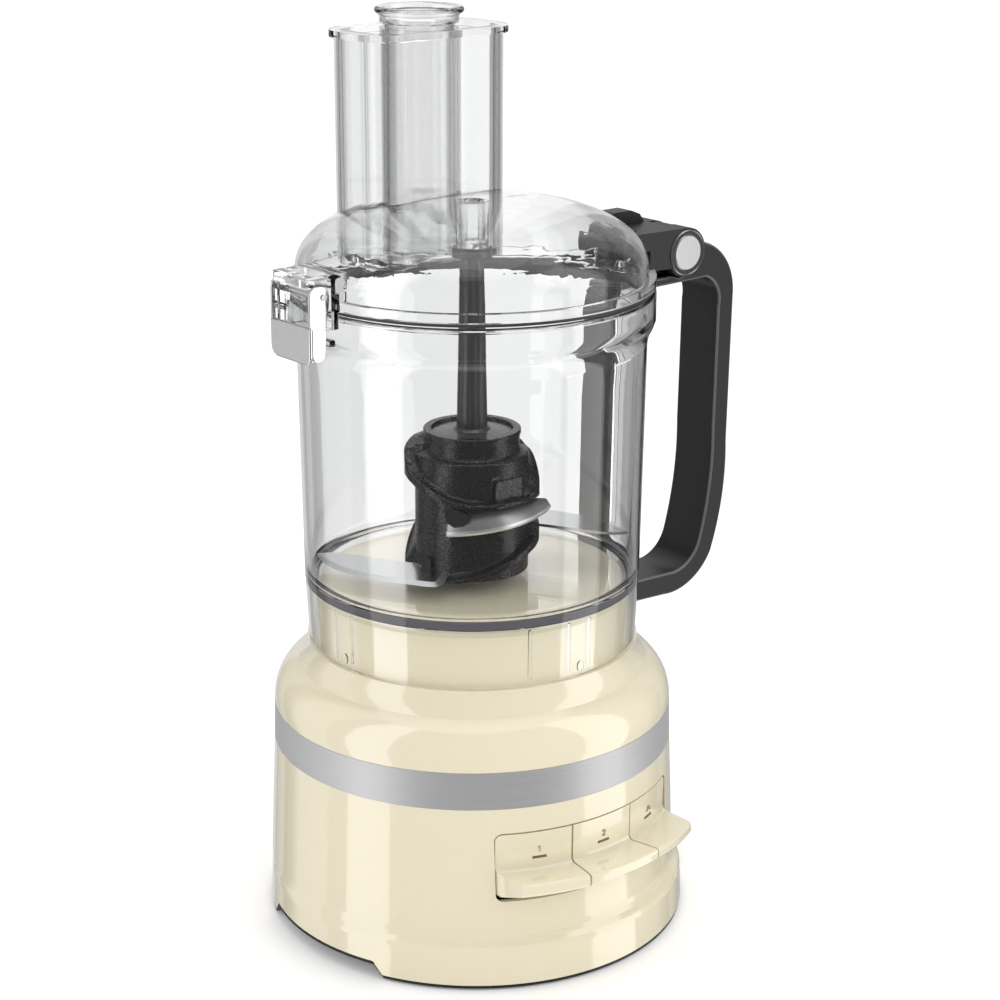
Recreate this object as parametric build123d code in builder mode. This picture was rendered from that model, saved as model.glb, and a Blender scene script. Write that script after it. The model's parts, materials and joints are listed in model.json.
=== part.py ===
"""Food processor: round motor base, clear work bowl with blade, hinged clear lid with two nested pushers.

Millimetres. +Z is up and the origin is where the bowl's axis meets the table. The three paddles face -Y,
the handle and the lid hinge are at +X, the lid latch is at -X and the feed tube stands behind the axis at +Y.
"""
from build123d import *
from math import atan2, cos, degrees, radians, sin, sqrt
import os

os.makedirs("parts", exist_ok=True)

# ---------------------------------------------------------------- driving dimensions
WALL = 2.7                     # moulded wall of the base
PLINTH_R = 103.0               # plinth, whose centre is a little in front of the bowl's axis
PLINTH_Y = -3.3
PLINTH_LOW = 2.6
PLINTH_TOP = 19.0
BODY_LOW = 27.5                # where the round body starts above the flared plinth
BODY_R = 100.5
BAND_LOW, BAND_TOP = 88.5, 106.6
SEAT_Z = 140.0                 # ledge that carries the bowl's skirt
SPIGOT_R = 76.2
SPIGOT_TOP = 166.3

PADDLE_ANGLES = {"paddle_1": -20.4, "paddle_2": 0.0, "paddle_pulse": 20.4}   # from the front, towards +X
PADDLE_HALF = 10.35            # half of the middle paddle's arc, in degrees
PADDLE_GAP = 0.5               # between neighbouring paddles, in degrees
PANEL_HALF_X = 53.1
PANEL_LOW, PANEL_TOP = 44.2, 75.6
PADDLE_PIVOT_R, PADDLE_PIVOT_Z = 82.0, 70.0
PADDLE_PIN_R = 1.5

MOTOR_Y = 48.0                 # motor shaft, behind the spindle
SHAFT_R = 4.0
BEARING_R, BEARING_W = 11.0, 7.0
PULLEY_R, MOTOR_PULLEY_R = 36.0, 8.0
PULLEY_LOW, PULLEY_TOP = 12.0, 26.0
STACK_LOW, STACK_TOP = 52.0, 86.0

BOWL_LOW = 140.4
BOWL_FLOOR = 172.0
BOWL_RIM_R, BOWL_RIM_Z = 86.2, 310.4
TUBE_R, TUBE_WALL, TUBE_TOP = 12.0, 2.5, 229.4

FLANGE_R, FLANGE_LOW, FLANGE_TOP = 86.0, 313.4, 317.6
DOME_R, DOME_TOP = 82.4, 351.8
CHUTE_Y = 39.0
CHUTE_X, CHUTE_W, CHUTE_CORNER = 80.0, 46.0, 15.5
CHUTE_WALL = 2.4
CHUTE_TOP = 424.0

HINGE_X, HINGE_Z = 122.0, 314.0
BARREL_R, BARREL_HALF = 12.3, 18.0
KNUCKLE_HALF = 5.6
HINGE_PIN_R = 3.5
HANDLE_HALF = 13.7

LATCH_X, LATCH_Z = -95.5, 322.0
LATCH_PIN_R = 1.5
LATCH_HALF = 12.6

HUB_R, HUB_LOW, HUB_TOP = 27.0, 174.0, 243.0
HUB_FLANGE_R = 32.5
SOCKET_R = 9.6                 # half the distance across the corners of the six-sided drive
RUN = 0.05                     # radial running clearance
PRESS = 0.02                   # radial gap where a piece is pressed on


# ---------------------------------------------------------------- helpers
def finish(piece, name):
    """Label a finished piece and write it."""
    piece.part.label = name
    export_step(piece.part, f"parts/{name}.step")


def radial_plane(angle):
    """Upright plane through the Z axis; its X points outwards at this angle, its Y points up."""
    a = radians(angle)
    return Plane(origin=(0, 0, 0), x_dir=(cos(a), sin(a), 0), z_dir=(sin(a), -cos(a), 0))


def turn(points, mode=Mode.ADD, start=0.0, arc=360.0):
    """Turn a closed outline of (radius, height) points about the Z axis."""
    with BuildSketch(radial_plane(start), mode=Mode.PRIVATE) as outline:
        with BuildLine():
            Polyline(*points, close=True)
        make_face()
    revolve(outline.sketch, axis=Axis.Z, revolution_arc=arc, mode=mode)


def upright(radius, low, high, at=(0, 0), mode=Mode.ADD):
    """Cylinder along Z."""
    with Locations((at[0], at[1], (low + high) / 2)):
        Cylinder(radius, high - low, mode=mode)


def cross(radius, half, at, mode=Mode.ADD):
    """Cylinder along Y, centred at (x, y, z)."""
    with Locations(Location(at, (90, 0, 0))):
        Cylinder(radius, 2 * half, mode=mode)


def block(low, high, mode=Mode.ADD):
    """Box between two corners."""
    with Locations(tuple((a + b) / 2 for a, b in zip(low, high))):
        Box(*(b - a for a, b in zip(low, high)), mode=mode)


def slab(points, half, mode=Mode.ADD, middle=0.0):
    """Outline of (x, z) points made 2 * half thick along Y, centred at y = middle."""
    with BuildSketch(Plane.XZ.offset(-middle), mode=Mode.PRIVATE) as outline:
        with BuildLine():
            Polyline(*points, close=True)
        make_face()
    extrude(outline.sketch, amount=half, both=True, mode=mode)


def rounded_prism(length, width, corner, low, high, y=0.0, mode=Mode.ADD):
    """Upright prism with a rounded rectangle as its plan, centred at (0, y)."""
    with BuildSketch(Plane.XY.offset(low), mode=Mode.PRIVATE) as plan:
        with Locations((0, y)):
            RectangleRounded(length, width, corner)
    extrude(plan.sketch, amount=high - low, mode=mode)


def paddle_spot(angle, radius, height, aside=0.0):
    """Place behind a paddle; its X points outwards and its Y points sideways."""
    return Location((0, 0, height), (0, 0, angle - 90)) * Location((radius, aside, 0))


# ---------------------------------------------------------------- base: shell, band and bottom
# (height, radius, centre y) of the plinth's outer circles, which blend into the round body
PLINTH_RINGS = [(PLINTH_LOW, PLINTH_R + 0.2, PLINTH_Y), (PLINTH_TOP, PLINTH_R - 0.5, PLINTH_Y),
                (21.4, 102.0, -2.7), (23.4, 101.2, -1.4), (25.2, 100.8, -0.5), (BODY_LOW, BODY_R, 0.0)]
ARCH_FRONT, ARCH_BACK, ARCH_TOP = -51.0, 40.0, 8.6
ARCH = [(ARCH_FRONT, -1.0), (ARCH_FRONT + 8, ARCH_TOP), (ARCH_BACK - 8, ARCH_TOP), (ARCH_BACK, -1.0)]
BASE_SCREW_R = 93.0
CORD_Z, CORD_HOLE_R = 15.0, 3.7
FOOT_IN, FOOT_OUT = 79.3, 84.2
LEGS = [(42, -24), (-42, -24), (42, 62), (-42, 62)]
BOLT_X = 29.4


def plinth(shrink, mode=Mode.ADD):
    """Stack of short cones between the plinth's circles."""
    for lower, upper in zip(PLINTH_RINGS, PLINTH_RINGS[1:]):
        faces = []
        for height, radius, centre in (lower, upper):
            with BuildSketch(Plane.XY.offset(height), mode=Mode.PRIVATE) as circle:
                with Locations((0, centre)):
                    Circle(radius - shrink)
            faces.append(circle.sketch)
        loft(faces, ruled=True, mode=mode)


def arch(grow, low_x, high_x, mode):
    """The finger recess under the +X and -X edges, made wider and taller all round by grow."""
    outline = [(y + (grow if y > 7 else -grow), z + (grow if z > 0 else 0)) for y, z in ARCH]
    for side in (1, -1):
        with BuildSketch(Plane.YZ.offset(side * low_x), mode=Mode.PRIVATE) as opening:
            with BuildLine():
                Polyline(*outline, close=True)
            make_face()
        extrude(opening.sketch, amount=side * (high_x - low_x), mode=mode)


with BuildPart() as base_housing:
    plinth(0)
    with BuildSketch(Plane.XZ):
        with BuildLine():
            Polyline((0, BODY_LOW), (BODY_R, BODY_LOW), (99.2, 58), (97.8, BAND_LOW), (96.2, BAND_LOW),
                     (95.8, BAND_TOP), (97.1, BAND_TOP))
            ThreePointArc((97.1, BAND_TOP), (93.7, 120.4), (84.9, 128.2))
            ThreePointArc((84.9, 128.2), (81.8, 132.8), (80.6, SEAT_Z))
            Polyline((80.6, SEAT_Z), (SPIGOT_R, SEAT_Z), (SPIGOT_R - 0.4, SPIGOT_TOP - 1.5),
                     (SPIGOT_R - 1.9, SPIGOT_TOP), (0, SPIGOT_TOP), (0, BODY_LOW))
        make_face()
    revolve(axis=Axis.Z)
    # hollow inside
    plinth(WALL + 0.1, mode=Mode.SUBTRACT)
    with BuildSketch(Plane.XZ):
        with BuildLine():
            Polyline((0, BODY_LOW), (BODY_R - WALL, BODY_LOW), (96.6, 58), (93.7, BAND_LOW), (93.2, BAND_TOP))
            ThreePointArc((93.2, BAND_TOP), (90.7, 118.2), (83.3, 125.6))
            ThreePointArc((83.3, 125.6), (79.4, 131.2), (77.8, SEAT_Z - WALL))
            Polyline((77.8, SEAT_Z - WALL), (SPIGOT_R - WALL, SEAT_Z - WALL), (SPIGOT_R - WALL - 0.5, SPIGOT_TOP - WALL),
                     (0, SPIGOT_TOP - WALL), (0, BODY_LOW))
        make_face()
    revolve(axis=Axis.Z, mode=Mode.SUBTRACT)
    # seat for the top bearing and, above it, the spindle seal
    upright(14, 146, SPIGOT_TOP - WALL + 0.5)
    upright(BEARING_R + RUN, 145.9, 154.1, mode=Mode.SUBTRACT)
    upright(7.5, 154.0, 157.1, mode=Mode.SUBTRACT)
    upright(10.6, 157.0, SPIGOT_TOP + 0.1, mode=Mode.SUBTRACT)
    # posts for the bottom screws
    with PolarLocations(BASE_SCREW_R, 4, start_angle=45):
        with Locations((0, 0, 18)):
            Cylinder(5, 24)
            Cylinder(1.7, 24.2, mode=Mode.SUBTRACT)
    # front opening for the paddles, finger recesses, cord hole
    with BuildSketch(Plane.XZ.offset(60)):
        with Locations((0, (PANEL_LOW + PANEL_TOP) / 2 - 0.5)):
            RectangleRounded(2 * PANEL_HALF_X + 1.5, PANEL_TOP - PANEL_LOW + 2.6, 3.6)
    extrude(amount=60, mode=Mode.SUBTRACT)
    arch(0, 80, 120, Mode.SUBTRACT)
    cross(6.6, 12, (0, 98, CORD_Z), mode=Mode.SUBTRACT)
finish(base_housing, "base_housing")

with BuildPart() as trim_band:
    turn([(96.3, BAND_LOW + 0.1), (97.85, BAND_LOW + 0.1), (97.25, BAND_TOP - 0.1), (95.95, BAND_TOP - 0.1)])
finish(trim_band, "trim_band")

with BuildPart() as base_plate:
    upright(101.8, 1.4, PLINTH_LOW - 0.05, at=(0, PLINTH_Y))
    upright(99.4, 2.5, 5.0, at=(0, PLINTH_Y))
    arch(1.8, 83, 104, Mode.ADD)
    with BuildSketch(Plane.XY, mode=Mode.PRIVATE) as round_limit:
        with Locations((0, PLINTH_Y)):
            Circle(99.4)
    extrude(round_limit.sketch, amount=60, mode=Mode.INTERSECT)
    upright(101.8, 1.4, PLINTH_LOW - 0.05, at=(0, PLINTH_Y))
    arch(0, 84.8, 120, Mode.SUBTRACT)
    block((-120, -120, -5), (120, 120, 1.4), mode=Mode.SUBTRACT)
    turn([(FOOT_IN - 0.15, 1.3), (FOOT_OUT + 0.15, 1.3), (FOOT_OUT + 0.15, 3.6), (FOOT_IN - 0.15, 3.6)],
         mode=Mode.SUBTRACT)
    with PolarLocations(BASE_SCREW_R, 4, start_angle=45):
        with Locations((0, 0, 2.4)):
            Cylinder(3.6, 2.4, mode=Mode.SUBTRACT)
            Cylinder(1.7, 12, mode=Mode.SUBTRACT)
    with Locations(*[(x, y, 2.4) for x, y in LEGS]):
        Cylinder(3.6, 2.4, mode=Mode.SUBTRACT)
        Cylinder(1.7, 12, mode=Mode.SUBTRACT)
    # cooling slots under the motor
    with GridLocations(0, 7, 1, 4):
        with Locations((0, MOTOR_Y + 10, 3)):
            Box(44, 3, 12, mode=Mode.SUBTRACT)
finish(base_plate, "base_plate")

with BuildPart() as foot_ring:
    turn([(FOOT_IN + 0.6, 0), (FOOT_OUT - 0.6, 0), (FOOT_OUT, 0.8), (FOOT_OUT, 3.5), (FOOT_IN, 3.5),
          (FOOT_IN, 0.8)])
finish(foot_ring, "foot_ring")

with BuildPart() as base_screws:
    with PolarLocations(BASE_SCREW_R, 4, start_angle=45):
        with Locations((0, 0, 2.5)):
            Cylinder(3.2, 1.6)
        with Locations((0, 0, 13)):
            Cylinder(1.6, 20)
finish(base_screws, "base_screws")

with BuildPart() as cord_inlet:
    cross(6.4, 5.5, (0, 96.5, CORD_Z))
    cross(8.6, 1.4, (0, 101.4, CORD_Z))
    cross(8.6, 1.2, (0, 94.2, CORD_Z))
    cross(CORD_HOLE_R, 20, (0, 98, CORD_Z), mode=Mode.SUBTRACT)
finish(cord_inlet, "cord_inlet")

# ---------------------------------------------------------------- base: chassis, bearings, belt drive
with BuildPart() as chassis_plate:
    rounded_prism(96, 100, 10, 30, 33, y=20)
    with Locations(*[(x, y, 17.6) for x, y in LEGS]):
        Cylinder(4.5, 24.9)
        Cylinder(1.7, 25, mode=Mode.SUBTRACT)
    upright(15, 33, 41)
    upright(7, 29, 33.1, mode=Mode.SUBTRACT)
    upright(BEARING_R + RUN, 33.1, 41.1, mode=Mode.SUBTRACT)
    upright(15, 27.2, 30, at=(0, MOTOR_Y))
    upright(7, 27, 28.1, at=(0, MOTOR_Y), mode=Mode.SUBTRACT)
    upright(BEARING_R + RUN, 28.0, 34, at=(0, MOTOR_Y), mode=Mode.SUBTRACT)
    with Locations((BOLT_X, MOTOR_Y, 42.4), (-BOLT_X, MOTOR_Y, 42.4)):
        Cylinder(3.4, 18.8)
        Cylinder(1.7, 18.9, mode=Mode.SUBTRACT)
finish(chassis_plate, "chassis_plate")

with BuildPart() as chassis_screws:
    with Locations(*[(x, y, 2.5) for x, y in LEGS]):
        Cylinder(3.2, 1.6)
    with Locations(*[(x, y, 11) for x, y in LEGS]):
        Cylinder(1.6, 16)
finish(chassis_screws, "chassis_screws")

BEARING_SEATS = [(0, 33.2), (0, 147.0), (MOTOR_Y, 28.2), (MOTOR_Y, 111.8)]     # (y, lower face)
with BuildPart() as ball_bearings:
    for y, low in BEARING_SEATS:
        upright(BEARING_R, low, low + BEARING_W, at=(0, y))
        for face in (low, low + BEARING_W):
            upright(9.4, face - 0.6, face + 0.6, at=(0, y), mode=Mode.SUBTRACT)
        upright(6.0, low, low + BEARING_W, at=(0, y))
        upright(SHAFT_R + RUN, low - 1, low + BEARING_W + 1, at=(0, y), mode=Mode.SUBTRACT)
finish(ball_bearings, "ball_bearings")

with BuildPart() as spindle_seal:
    turn([(5.08, 157.2), (10.5, 157.2), (10.5, 164.5), (9.0, 164.5), (9.0, 159.2), (6.4, 159.2),
          (6.0, 163.0), (5.08, 163.0)])
finish(spindle_seal, "spindle_seal")

with BuildPart() as drive_spindle:
    upright(SHAFT_R, 11, 155.4)
    upright(5.0, 155.4, 222)
    upright(SHAFT_R, 222, 236)
finish(drive_spindle, "drive_spindle")

with BuildPart() as large_pulley:
    turn([(SHAFT_R + PRESS, PULLEY_LOW), (37.4, PULLEY_LOW), (37.4, 13.5), (PULLEY_R, 13.5), (PULLEY_R, 24.5),
          (37.4, 24.5), (37.4, PULLEY_TOP), (33, PULLEY_TOP), (33, 15), (10, 15), (10, 28),
          (SHAFT_R + PRESS, 28)])
    with PolarLocations(22, 6):
        with Locations((0, 0, 13.5)):
            Cylinder(6, 6, mode=Mode.SUBTRACT)
finish(large_pulley, "large_pulley")

with BuildPart() as drive_coupling:
    with BuildSketch(Plane.XY.offset(222)):
        RegularPolygon(SOCKET_R, 6)
    extrude(amount=17)
    chamfer(drive_coupling.faces().sort_by(Axis.Z)[-1].edges(), 1.2)
    upright(SHAFT_R + PRESS, 221, 236.3, mode=Mode.SUBTRACT)
finish(drive_coupling, "drive_coupling")


def belt_loop(gap, mode):
    """Plate with the outline of a loop round both pulleys, standing off them by gap."""
    with BuildSketch(Plane.XY.offset(14), mode=Mode.PRIVATE) as loop:
        Circle(PULLEY_R + gap)
        with Locations((0, MOTOR_Y)):
            Circle(MOTOR_PULLEY_R + gap)
        make_hull()
    extrude(loop.sketch, amount=10, mode=mode)


with BuildPart() as drive_belt:
    belt_loop(2.2, Mode.ADD)
    belt_loop(0.3, Mode.SUBTRACT)
finish(drive_belt, "drive_belt")

# ---------------------------------------------------------------- base: motor
with BuildPart() as stator_core:
    rounded_prism(66, 52, 8, STACK_LOW, STACK_TOP, y=MOTOR_Y)
    upright(16.2, 50, 90, at=(0, MOTOR_Y), mode=Mode.SUBTRACT)
    with Locations((BOLT_X, MOTOR_Y, 69), (-BOLT_X, MOTOR_Y, 69)):
        Cylinder(1.8, 40, mode=Mode.SUBTRACT)
    for side in (1, -1):
        for end in (1, -1):
            with Locations((side * 22, MOTOR_Y + end * 18.5, 69)):
                Box(8, 7.6, 40, mode=Mode.SUBTRACT)
finish(stator_core, "stator_core")

with BuildPart() as field_coils:
    with Locations((22, MOTOR_Y, 69), (-22, MOTOR_Y, 69)):
        Box(7.4, 44, 45)
        Box(7.6, 30, 34.6, mode=Mode.SUBTRACT)
    fillet(field_coils.edges().filter_by(Axis.X).group_by(Axis.Z)[-1], 5)
finish(field_coils, "field_coils")

with BuildPart() as motor_shaft:
    upright(SHAFT_R, 10, 118.6, at=(0, MOTOR_Y))
finish(motor_shaft, "motor_shaft")

with BuildPart() as rotor_core:
    upright(15.6, STACK_LOW, STACK_TOP, at=(0, MOTOR_Y))
    upright(SHAFT_R + PRESS, 50, 90, at=(0, MOTOR_Y), mode=Mode.SUBTRACT)
    with Locations((0, MOTOR_Y, 69)):
        with PolarLocations(14, 12):
            Box(6, 1.8, 40, mode=Mode.SUBTRACT)
finish(rotor_core, "rotor_core")

with BuildPart() as rotor_windings:
    for low, high in ((46.8, STACK_LOW - 0.1), (STACK_TOP + 0.1, 91.2)):
        upright(13, low, high, at=(0, MOTOR_Y))
        upright(SHAFT_R + 0.3, low - 1, high + 1, at=(0, MOTOR_Y), mode=Mode.SUBTRACT)
finish(rotor_windings, "rotor_windings")

with BuildPart() as commutator:
    upright(9, 94, 106, at=(0, MOTOR_Y))
    upright(10.2, 92.4, 94, at=(0, MOTOR_Y))
    upright(SHAFT_R + PRESS, 92, 107, at=(0, MOTOR_Y), mode=Mode.SUBTRACT)
    with Locations((0, MOTOR_Y, 101)):
        with PolarLocations(9.2, 12):
            Box(1.6, 0.6, 12, mode=Mode.SUBTRACT)
finish(commutator, "commutator")

with BuildPart() as cooling_fan:
    upright(23, 38, 39.5, at=(0, MOTOR_Y))
    upright(7, 38, 45.5, at=(0, MOTOR_Y))
    with Locations((0, MOTOR_Y, 42.2)):
        with PolarLocations(14.5, 9):
            Box(15.5, 1.3, 5.6, rotation=(0, 0, 20))
    upright(SHAFT_R + PRESS, 37, 47, at=(0, MOTOR_Y), mode=Mode.SUBTRACT)
finish(cooling_fan, "cooling_fan")

with BuildPart() as small_pulley:
    upright(MOTOR_PULLEY_R, PULLEY_LOW, PULLEY_TOP, at=(0, MOTOR_Y))
    upright(9.4, PULLEY_LOW, 13.5, at=(0, MOTOR_Y))
    upright(9.4, 24.5, PULLEY_TOP, at=(0, MOTOR_Y))
    upright(SHAFT_R + PRESS, 10, 28, at=(0, MOTOR_Y), mode=Mode.SUBTRACT)
finish(small_pulley, "small_pulley")

with BuildPart() as motor_bracket:
    rounded_prism(66, 26, 8, 110, 113, y=MOTOR_Y)
    upright(15, 113, 119, at=(0, MOTOR_Y))
    upright(6, 109, 112, at=(0, MOTOR_Y), mode=Mode.SUBTRACT)
    upright(BEARING_R + RUN, 111.7, 120, at=(0, MOTOR_Y), mode=Mode.SUBTRACT)
    with Locations((BOLT_X, MOTOR_Y, 98.1), (-BOLT_X, MOTOR_Y, 98.1)):
        Cylinder(3.4, 24)
        Cylinder(1.8, 40, mode=Mode.SUBTRACT)
finish(motor_bracket, "motor_bracket")

with BuildPart() as motor_bolts:
    with Locations((BOLT_X, MOTOR_Y, 114.6), (-BOLT_X, MOTOR_Y, 114.6)):
        Cylinder(3, 3)
    with Locations((BOLT_X, MOTOR_Y, 75), (-BOLT_X, MOTOR_Y, 75)):
        Cylinder(1.6, 77)
finish(motor_bolts, "motor_bolts")

with BuildPart() as brush_holders:
    with Locations((17.2, MOTOR_Y, 100), (-17.2, MOTOR_Y, 100)):
        Box(13.6, 8, 6.4)
        Box(14, 5.3, 4.3, mode=Mode.SUBTRACT)
finish(brush_holders, "brush_holders")

with BuildPart() as carbon_brushes:
    with Locations((15, MOTOR_Y, 100), (-15, MOTOR_Y, 100)):
        Box(11.4, 5, 4)
finish(carbon_brushes, "carbon_brushes")

# ---------------------------------------------------------------- base: paddle switches
with BuildPart() as switch_bracket:
    turn([(74, 5.1), (77, 5.1), (77, 78), (74, 78)], start=-121, arc=62)
    turn([(76, 46), (92, 46), (92, 48.4), (76, 48.4)], start=-120, arc=60)
    for angle in PADDLE_ANGLES.values():
        for aside in (7.5, -7.5):
            with Locations(paddle_spot(angle, 81.5, PADDLE_PIVOT_Z, aside)):
                Box(11, 2, 10)
        with Locations(paddle_spot(angle, PADDLE_PIVOT_R, PADDLE_PIVOT_Z) * Rotation(90, 0, 0)):
            Cylinder(PADDLE_PIN_R + PRESS, 22, mode=Mode.SUBTRACT)
finish(switch_bracket, "switch_bracket")

with BuildPart() as paddle_pins:
    for angle in PADDLE_ANGLES.values():
        with Locations(paddle_spot(angle, PADDLE_PIVOT_R, PADDLE_PIVOT_Z) * Rotation(90, 0, 0)):
            Cylinder(PADDLE_PIN_R, 17.4)
finish(paddle_pins, "paddle_pins")

with BuildPart() as microswitches:
    for angle in PADDLE_ANGLES.values():
        with Locations(paddle_spot(angle, 82.1, 54.5)):
            Box(7.8, 12, 11.8)
        with Locations(paddle_spot(angle, 84.8, 62.4)):
            Cylinder(1.0, 4.4)
finish(microswitches, "microswitches")

with BuildPart() as control_board:
    block((-30, -67, 9), (30, -43, 10.6))
    block((-24, -65, 10.6), (-6, -51, 24))
    upright(7, 10.6, 27, at=(14, -58))
    block((-20, -66, 5.1), (-16, -62, 9))
    block((16, -66, 5.1), (20, -62, 9))
finish(control_board, "control_board")

# outline of a paddle in (radius, height): flat plate with a ledge for the finger
PADDLE_SECTION = [(95.0, PANEL_TOP), (98.2, PANEL_TOP), (98.0, 59.6), (98.5, 58.1), (99.9, 57.3), (113.7, 57.6),
                  (115.0, 57.1), (115.5, 55.9), (115.5, 53.0), (114.7, 51.7), (100.6, 45.4), (97.6, PANEL_LOW),
                  (95.0, PANEL_LOW)]
LENS_Z, LENS_LONG, LENS_HIGH = 62.8, 6.8, 1.1


def make_paddle(angle):
    """One paddle with its rear arm, spring boss and the pocket of its indicator."""
    with BuildPart() as paddle:
        low, high = {-1: (-35, -PADDLE_HALF - PADDLE_GAP), 0: (-PADDLE_HALF, PADDLE_HALF),
                     1: (PADDLE_HALF + PADDLE_GAP, 35)}[(angle > 0) - (angle < 0)]
        turn(PADDLE_SECTION, start=low - 90, arc=high - low)
        with BuildSketch(Plane.XZ.offset(50), mode=Mode.PRIVATE) as front:
            with Locations((0, (PANEL_LOW + PANEL_TOP) / 2)):
                RectangleRounded(2 * PANEL_HALF_X, PANEL_TOP - PANEL_LOW, 3.0)
        extrude(front.sketch, amount=80, mode=Mode.INTERSECT)
        with Locations(paddle_spot(angle, 87.3, PADDLE_PIVOT_Z)):
            Box(16.6, 11.4, 9)
        with Locations(paddle_spot(angle, 91.9, 58.7)):
            Box(7.4, 7, 3)
        with Locations(paddle_spot(angle, PADDLE_PIVOT_R, PADDLE_PIVOT_Z) * Rotation(90, 0, 0)):
            Cylinder(PADDLE_PIN_R + 0.08, 22, mode=Mode.SUBTRACT)
        with Locations(paddle_spot(angle, 98, LENS_Z)):
            Box(2.2, LENS_LONG + 0.2, LENS_HIGH + 0.2, mode=Mode.SUBTRACT)
    return paddle


def make_lens(angle):
    """Indicator window let into a paddle's plate."""
    with BuildPart() as lens:
        with Locations(paddle_spot(angle, 97.6, LENS_Z)):
            Box(1.2, LENS_LONG, LENS_HIGH)
    return lens


def make_spring(angle):
    """Return coil between the bracket's shelf and the paddle's boss."""
    with BuildPart() as spring:
        with BuildLine() as coil:
            Helix(pitch=1.6, height=7.4, radius=1.9)
        with BuildSketch(coil.line ^ 0):
            Circle(0.35)
        sweep(is_frenet=True)
    return spring


for paddle_name, paddle_angle in PADDLE_ANGLES.items():
    finish(make_paddle(paddle_angle), paddle_name)
    suffix = paddle_name.split("_")[1]
    finish(make_lens(paddle_angle), f"lens_{suffix}")
    coil = make_spring(paddle_angle)
    coil.part.locate(paddle_spot(paddle_angle, 89.4, 49.0))
    finish(coil, f"spring_{suffix}")

# ---------------------------------------------------------------- bowl and handle
LUG_HALF = 5.0
LOW_LUG = (141.2, 145.4)
HIGH_LUG = (302.4, 306.6)
LOW_SCREW_X, HIGH_SCREW_X = 91.0, 92.0

with BuildPart() as bowl:
    with BuildSketch(Plane.XZ):
        with BuildLine():
            Polyline((79.5, BOWL_LOW), (81.0, BOWL_FLOOR), (82.5, 286))
            ThreePointArc((82.5, 286), (83.4, 290.2), (84.8, 293.5))
            ThreePointArc((84.8, 293.5), (86.0, 297.0), (BOWL_RIM_R, 301))
            Polyline((BOWL_RIM_R, 301), (BOWL_RIM_R, BOWL_RIM_Z), (83.4, BOWL_RIM_Z), (83.4, 301.6))
            ThreePointArc((83.4, 301.6), (83.1, 298.0), (82.1, 294.8))
            ThreePointArc((82.1, 294.8), (80.5, 291.2), (79.7, 287))
            Line((79.7, 287), (78.3, 178))
            ThreePointArc((78.3, 178), (76.8, 173.8), (72.6, BOWL_FLOOR))
            Line((72.6, BOWL_FLOOR), (TUBE_R + TUBE_WALL + 2, BOWL_FLOOR))
            Polyline((TUBE_R + TUBE_WALL + 2, BOWL_FLOOR), (TUBE_R + TUBE_WALL, BOWL_FLOOR + 1.8),
                     (TUBE_R + TUBE_WALL, TUBE_TOP), (TUBE_R, TUBE_TOP), (TUBE_R, BOWL_FLOOR - 3.4),
                     (77.5, BOWL_FLOOR - 3.4), (76.8, BOWL_LOW), (79.5, BOWL_LOW))
        make_face()
    revolve(axis=Axis.Z)
    # lugs that the handle is screwed to, and the catch that the latch closes under
    block((78.6, -LUG_HALF, LOW_LUG[0]), (96, LUG_HALF, LOW_LUG[1]))
    upright(1.55, LOW_LUG[0] - 1, LOW_LUG[1] - 0.6, at=(LOW_SCREW_X, 0), mode=Mode.SUBTRACT)
    block((84.5, -LUG_HALF, HIGH_LUG[0]), (98.4, LUG_HALF, HIGH_LUG[1]))
    upright(1.55, HIGH_LUG[0] - 1, HIGH_LUG[1] - 0.5, at=(HIGH_SCREW_X, 0), mode=Mode.SUBTRACT)
    block((-88.2, -9, 297.2), (-84.6, 9, 300.2))
finish(bowl, "bowl")


# finger gap in the XZ plane; its curved side is the grip's inner face
with BuildSketch(Plane.XZ) as finger_gap:
    with BuildLine():
        Polyline((87, 297.5), (87, 146.4), (120, 145.4))
        ThreePointArc((120, 145.4), (134.4, 149.2), (141.6, 160.5))
        ThreePointArc((141.6, 160.5), (146.9, 185), (148.6, 217.5))
        Line((148.6, 217.5), (149.6, 282))
        ThreePointArc((149.6, 282), (147.6, 293), (140.4, 298.4))
        Line((140.4, 298.4), (87, 297.5))
    make_face()


def lining(thickness):
    """Strip of this thickness along the grip side of the finger gap."""
    with BuildSketch(Plane.XZ, mode=Mode.PRIVATE) as strip:
        add(finger_gap.sketch_local)
        offset(amount=thickness)
        add(finger_gap.sketch_local, mode=Mode.SUBTRACT)
        with Locations((95, 222)):
            Rectangle(31, 200, mode=Mode.SUBTRACT)
    return strip.sketch


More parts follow.
